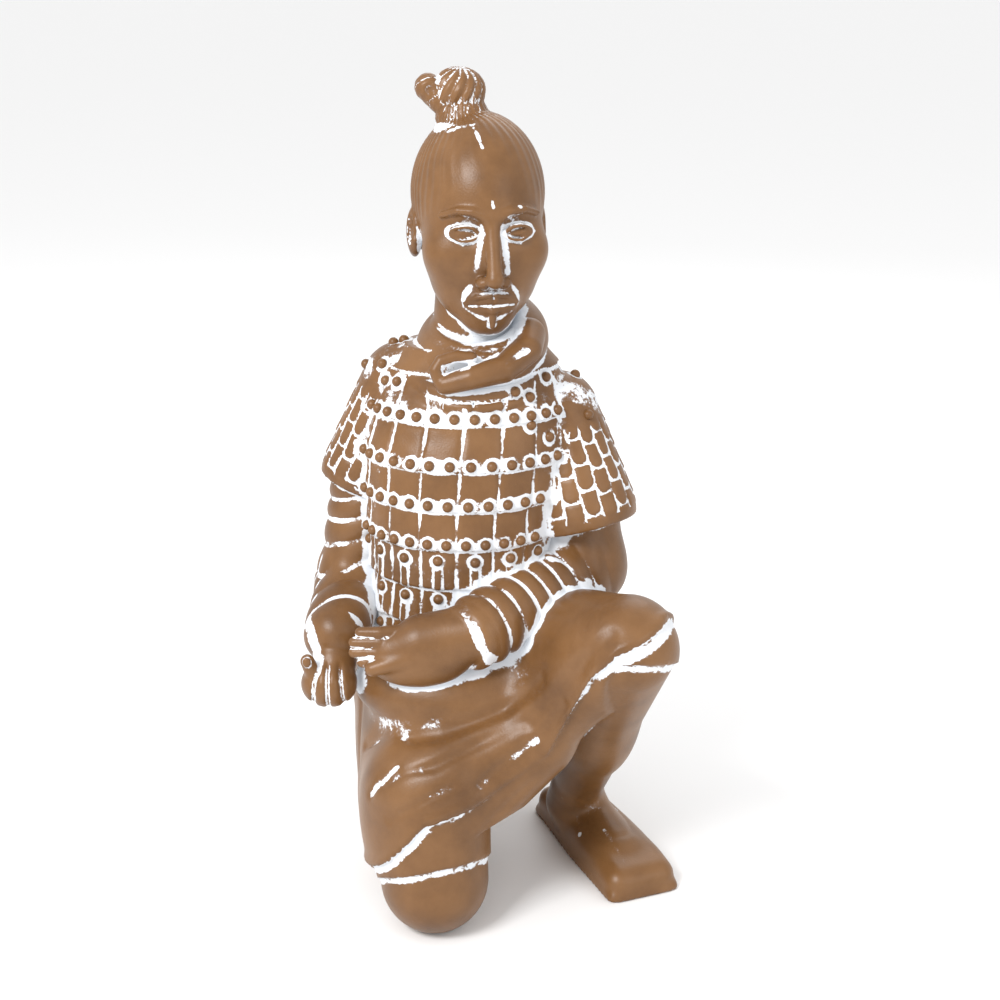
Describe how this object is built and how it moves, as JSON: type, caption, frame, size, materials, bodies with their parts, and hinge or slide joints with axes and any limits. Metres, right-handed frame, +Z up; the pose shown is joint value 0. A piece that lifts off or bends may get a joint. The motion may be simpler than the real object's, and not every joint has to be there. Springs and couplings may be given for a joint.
{
  "type": "kneeling terracotta warrior statue",
  "caption": "Cast figure of a warrior kneeling on one knee, in lamellar armour with rivets, a rolled scarf and a side hair knot. White wash lies in its hollows.",
  "frame": {"origin": "middle of the figure's bounding box, on the floor it kneels on", "axes": "+Z up along the figure's height, -Y the way it faces, +X to its left hand"},
  "size_m": [0.1866, 0.1916, 0.4],
  "materials": {
    "clay": "brown semi-matt body with white wash left in the hollows"
  },
  "bodies": {
    "root": {"warrior": "clay"}
  },
  "joints": []
}
